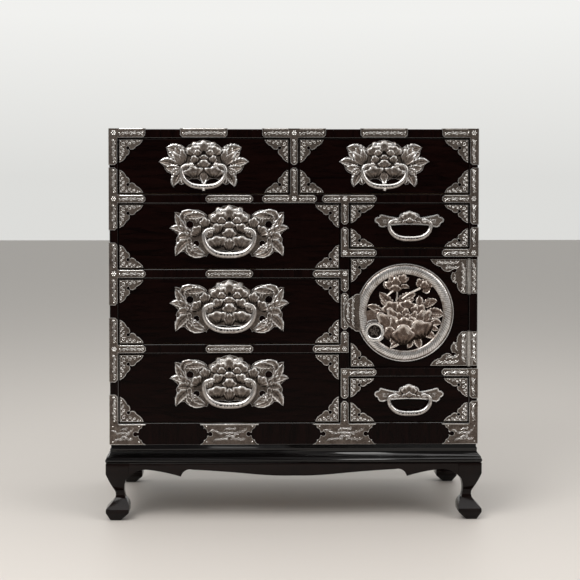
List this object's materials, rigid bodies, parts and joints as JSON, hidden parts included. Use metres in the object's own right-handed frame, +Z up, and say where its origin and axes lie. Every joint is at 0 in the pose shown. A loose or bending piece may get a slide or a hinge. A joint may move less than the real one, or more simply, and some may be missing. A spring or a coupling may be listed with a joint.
{
  "type": "tansu chest",
  "caption": "Black lacquered chest of drawers with a hinged cupboard door and embossed metal fittings, on a moulded stand with cabriole legs.",
  "frame": {"origin": "on the floor, under the middle of the chest's overall box", "axes": "+Z up, +X to the right as seen from the front, the front faces -Y"},
  "size_m": [0.922, 0.4645, 0.96],
  "materials": {
    "lacquer": "gloss black lacquer",
    "plain_wood": "planed pale wood",
    "fittings": "embossed silver-grey metal with dark recesses"
  },
  "bodies": {
    "case": {"left_side": "lacquer", "right_side": "lacquer", "top_board": "lacquer", "bottom_board": "plain_wood", "base_rail": "lacquer", "back_panel": "plain_wood", "column_divider": "lacquer", "top_row_divider": "lacquer", "top_row_shelf": "lacquer", "left_upper_shelf": "lacquer", "left_lower_shelf": "lacquer", "right_upper_shelf": "lacquer", "right_lower_shelf": "lacquer", "left_stile_plates": "fittings", "right_stile_plates": "fittings", "divider_plates": "fittings", "rail_band_plates": "fittings", "hinge_case_leaves": "fittings", "hinge_pins": "fittings", "stand_moulding": "lacquer", "stand_aprons": "lacquer", "front_left_leg": "lacquer", "front_right_leg": "lacquer", "back_left_leg": "lacquer", "back_right_leg": "lacquer"},
    "door": {"door_panel": "lacquer", "door_corner_plates": "fittings", "hinge_door_leaves": "fittings", "lock_plate": "fittings", "lock_case": "fittings"},
    "lock_knob": {"lock_knob": "fittings"},
    "lock_bolt": {"lock_bolt": "fittings"},
    "top_left_drawer": {"top_left_front": "lacquer", "top_left_box": "plain_wood", "top_left_fittings": "fittings"},
    "top_left_bail": {"top_left_bail": "fittings"},
    "top_right_drawer": {"top_right_front": "lacquer", "top_right_box": "plain_wood", "top_right_fittings": "fittings"},
    "top_right_bail": {"top_right_bail": "fittings"},
    "left_upper_drawer": {"left_upper_front": "lacquer", "left_upper_box": "plain_wood", "left_upper_fittings": "fittings"},
    "left_upper_bail": {"left_upper_bail": "fittings"},
    "left_middle_drawer": {"left_middle_front": "lacquer", "left_middle_box": "plain_wood", "left_middle_fittings": "fittings"},
    "left_middle_bail": {"left_middle_bail": "fittings"},
    "left_lower_drawer": {"left_lower_front": "lacquer", "left_lower_box": "plain_wood", "left_lower_fittings": "fittings"},
    "left_lower_bail": {"left_lower_bail": "fittings"},
    "right_upper_drawer": {"right_upper_front": "lacquer", "right_upper_box": "plain_wood", "right_upper_fittings": "fittings"},
    "right_upper_bail": {"right_upper_bail": "fittings"},
    "right_lower_drawer": {"right_lower_front": "lacquer", "right_lower_box": "plain_wood", "right_lower_fittings": "fittings"},
    "right_lower_bail": {"right_lower_bail": "fittings"}
  },
  "joints": [
    {"name": "top_left_drawer_slide", "type": "slide", "parent": "case", "child": "top_left_drawer", "axis": [0, -1, 0], "range_m": [0, 0.3]},
    {"name": "top_left_bail_swing", "type": "hinge", "parent": "top_left_drawer", "child": "top_left_bail", "pos_m": [-0.22, -0.22575, 0.87016], "axis": [-1, 0, 0], "range_deg": [0, 100]},
    {"name": "top_right_drawer_slide", "type": "slide", "parent": "case", "child": "top_right_drawer", "axis": [0, -1, 0], "range_m": [0, 0.3]},
    {"name": "top_right_bail_swing", "type": "hinge", "parent": "top_right_drawer", "child": "top_right_bail", "pos_m": [0.22, -0.22575, 0.87016], "axis": [-1, 0, 0], "range_deg": [0, 100]},
    {"name": "left_upper_drawer_slide", "type": "slide", "parent": "case", "child": "left_upper_drawer", "axis": [0, -1, 0], "range_m": [0, 0.3]},
    {"name": "left_upper_bail_swing", "type": "hinge", "parent": "left_upper_drawer", "child": "left_upper_bail", "pos_m": [-0.158, -0.22575, 0.71404], "axis": [-1, 0, 0], "range_deg": [0, 100]},
    {"name": "left_middle_drawer_slide", "type": "slide", "parent": "case", "child": "left_middle_drawer", "axis": [0, -1, 0], "range_m": [0, 0.3]},
    {"name": "left_middle_bail_swing", "type": "hinge", "parent": "left_middle_drawer", "child": "left_middle_bail", "pos_m": [-0.158, -0.22575, 0.53058], "axis": [-1, 0, 0], "range_deg": [0, 100]},
    {"name": "left_lower_drawer_slide", "type": "slide", "parent": "case", "child": "left_lower_drawer", "axis": [0, -1, 0], "range_m": [0, 0.3]},
    {"name": "left_lower_bail_swing", "type": "hinge", "parent": "left_lower_drawer", "child": "left_lower_bail", "pos_m": [-0.158, -0.22575, 0.34681], "axis": [-1, 0, 0], "range_deg": [0, 100]},
    {"name": "right_upper_drawer_slide", "type": "slide", "parent": "case", "child": "right_upper_drawer", "axis": [0, -1, 0], "range_m": [0, 0.3]},
    {"name": "right_upper_bail_swing", "type": "hinge", "parent": "right_upper_drawer", "child": "right_upper_bail", "pos_m": [0.282, -0.22575, 0.73527], "axis": [-1, 0, 0], "range_deg": [0, 100]},
    {"name": "right_lower_drawer_slide", "type": "slide", "parent": "case", "child": "right_lower_drawer", "axis": [0, -1, 0], "range_m": [0, 0.3]},
    {"name": "right_lower_bail_swing", "type": "hinge", "parent": "right_lower_drawer", "child": "right_lower_bail", "pos_m": [0.282, -0.22575, 0.30851], "axis": [-1, 0, 0], "range_deg": [0, 100]},
    {"name": "door_swing", "type": "hinge", "parent": "case", "child": "door", "pos_m": [0.428, -0.21315, 0.5095], "axis": [0, 0, 1], "range_deg": [0, 170]},
    {"name": "lock_knob_turn", "type": "hinge", "parent": "door", "child": "lock_knob", "pos_m": [0.19629, -0.20875, 0.46407], "axis": [0, -1, 0], "range_deg": [0, 90]},
    {"name": "lock_bolt_slide", "type": "slide", "parent": "door", "child": "lock_bolt", "axis": [-1, 0, 0], "range_m": [0, 0.00849]}
  ],
  "couplings": [
    {"joint": "lock_bolt_slide", "follows": "lock_knob_turn", "m_per_rad": 0.0054019}
  ]
}
